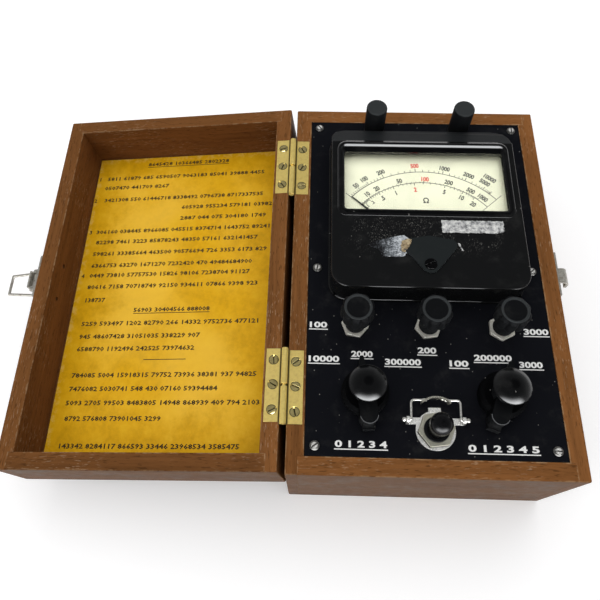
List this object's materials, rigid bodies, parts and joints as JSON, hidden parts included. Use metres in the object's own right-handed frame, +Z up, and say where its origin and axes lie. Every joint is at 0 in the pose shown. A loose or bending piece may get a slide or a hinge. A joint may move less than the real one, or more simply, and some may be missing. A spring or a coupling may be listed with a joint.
{
  "type": "multi-range ohmmeter",
  "caption": "Multi-range ohmmeter in a hinged wooden case with a moving-coil meter, lobed adjusters, pointer switches, clamp terminals and a push button with a swing-over bail.",
  "frame": {"origin": "centre of the base's underside", "axes": "+X to the catch side, away from the open lid; +Y to the back, where the terminals are; +Z up"},
  "size_m": [0.37, 0.2552, 0.1145],
  "materials": {
    "mahogany": "worn satin varnish",
    "plywood": "plain thin board",
    "panel": "satin black sheet",
    "bakelite": "polished black moulding",
    "matte_black": "dull black moulding",
    "brass": "dull brass",
    "chrome": "bright plate",
    "nickel": "dull nickel plate",
    "glass": "clear",
    "dial": "aged cream enamel",
    "card": "aged varnished card",
    "sleeve": "plain card",
    "phenolic": "plain laminate",
    "copper": "enamelled copper"
  },
  "bodies": {
    "case": {"base_left": "mahogany", "base_right": "mahogany", "base_ends": "mahogany", "base_bottom": "plywood", "inner_battens": "plywood", "panel": "panel", "panel_screws": "chrome", "base_hinge_leaves": "brass", "hinge_pins": "nickel", "base_hinge_screws": "brass", "keeper_plate": "nickel", "keeper_screws": "nickel", "cell_unit": "sleeve", "meter_case": "bakelite", "meter_back": "bakelite", "meter_glass": "glass", "dial_plate": "dial", "meter_magnet": "nickel", "movement_frame": "brass", "hairspring": "brass", "zero_plate": "matte_black", "stud_nuts": "brass", "terminal_studs": "brass", "adjuster_bodies": "nickel", "control_nuts": "chrome", "switch_bodies": "phenolic", "button_spring": "nickel", "button_body": "bakelite", "button_nut": "chrome", "bail_plate": "chrome"},
    "lid": {"lid_sides": "mahogany", "lid_ends": "mahogany", "lid_board": "plywood", "instruction_card": "card", "lid_hinge_leaves": "brass", "lid_hinge_screws": "brass", "catch_plate": "nickel", "catch_screws": "nickel"},
    "catch_lever": {"catch_lever": "nickel"},
    "catch_loop": {"catch_loop": "nickel"},
    "cell_hatch": {"cell_hatch": "mahogany", "hatch_screw": "brass"},
    "needle": {"moving_coil": "copper", "needle": "matte_black"},
    "zero_screw": {"zero_screw": "matte_black"},
    "terminal_left": {"terminal_head_left": "matte_black"},
    "terminal_right": {"terminal_head_right": "matte_black"},
    "adjuster_low": {"adjuster_knob_low": "matte_black", "adjuster_shaft_low": "nickel"},
    "adjuster_mid": {"adjuster_knob_mid": "matte_black", "adjuster_shaft_mid": "nickel"},
    "adjuster_high": {"adjuster_knob_high": "matte_black", "adjuster_shaft_high": "nickel"},
    "function_switch": {"function_knob": "bakelite", "function_shaft": "nickel"},
    "range_switch": {"range_knob": "bakelite", "range_shaft": "nickel"},
    "button": {"button_cap": "bakelite"},
    "bail": {"bail": "chrome", "bail_saddle": "chrome"}
  },
  "joints": [
    {"name": "lid_hinge", "type": "hinge", "parent": "case", "child": "lid", "pos_m": [-0.08515, 0, 0.086], "axis": [0, 1, 0], "range_deg": [0, 186.1]},
    {"name": "catch_lever_pivot", "type": "hinge", "parent": "lid", "child": "catch_lever", "pos_m": [-0.25742, 0, 0.05924], "axis": [0, 1, 0], "range_deg": [0, 100]},
    {"name": "catch_loop_pivot", "type": "hinge", "parent": "catch_lever", "child": "catch_loop", "pos_m": [-0.25449, 0, 0.05453], "axis": [0, 1, 0], "range_deg": [-78, 1]},
    {"name": "hatch_slide", "type": "slide", "parent": "case", "child": "cell_hatch", "axis": [0, 1, 0], "range_m": [0, 0.088]},
    {"name": "needle_pivot", "type": "hinge", "parent": "case", "child": "needle", "pos_m": [0, 0.0029, 0.086], "axis": [0, 0, -1], "range_deg": [0, 96], "stiffness_Nm_per_rad": 0.00002},
    {"name": "zero_turn", "type": "hinge", "parent": "case", "child": "zero_screw", "pos_m": [0, -0.007, 0.106], "axis": [0, 0, 1], "continuous": true},
    {"name": "terminal_left_lift", "type": "slide", "parent": "case", "child": "terminal_left", "axis": [0, 0, 1], "range_m": [0, 0.005]},
    {"name": "terminal_right_lift", "type": "slide", "parent": "case", "child": "terminal_right", "axis": [0, 0, 1], "range_m": [0, 0.005]},
    {"name": "adjuster_low_turn", "type": "hinge", "parent": "case", "child": "adjuster_low", "pos_m": [-0.0438, -0.0388, 0.086], "axis": [0, 0, 1], "range_deg": [-140, 140]},
    {"name": "adjuster_mid_turn", "type": "hinge", "parent": "case", "child": "adjuster_mid", "pos_m": [0, -0.0388, 0.086], "axis": [0, 0, 1], "range_deg": [-140, 140]},
    {"name": "adjuster_high_turn", "type": "hinge", "parent": "case", "child": "adjuster_high", "pos_m": [0.0438, -0.0388, 0.086], "axis": [0, 0, 1], "range_deg": [-140, 140]},
    {"name": "function_turn", "type": "hinge", "parent": "case", "child": "function_switch", "pos_m": [-0.0388, -0.081, 0.086], "axis": [0, 0, 1], "range_deg": [-35, 25]},
    {"name": "range_turn", "type": "hinge", "parent": "case", "child": "range_switch", "pos_m": [0.0388, -0.081, 0.086], "axis": [0, 0, 1], "range_deg": [0, 60]},
    {"name": "button_press", "type": "slide", "parent": "case", "child": "button", "axis": [0, 0, -1], "range_m": [0, 0.007], "stiffness_N_per_m": 300, "springref_m": -0.003, "deforming": ["button_spring"]},
    {"name": "bail_swing", "type": "hinge", "parent": "case", "child": "bail", "pos_m": [0.0005, -0.096, 0.09], "axis": [1, 0, 0], "range_deg": [0, 56]}
  ]
}
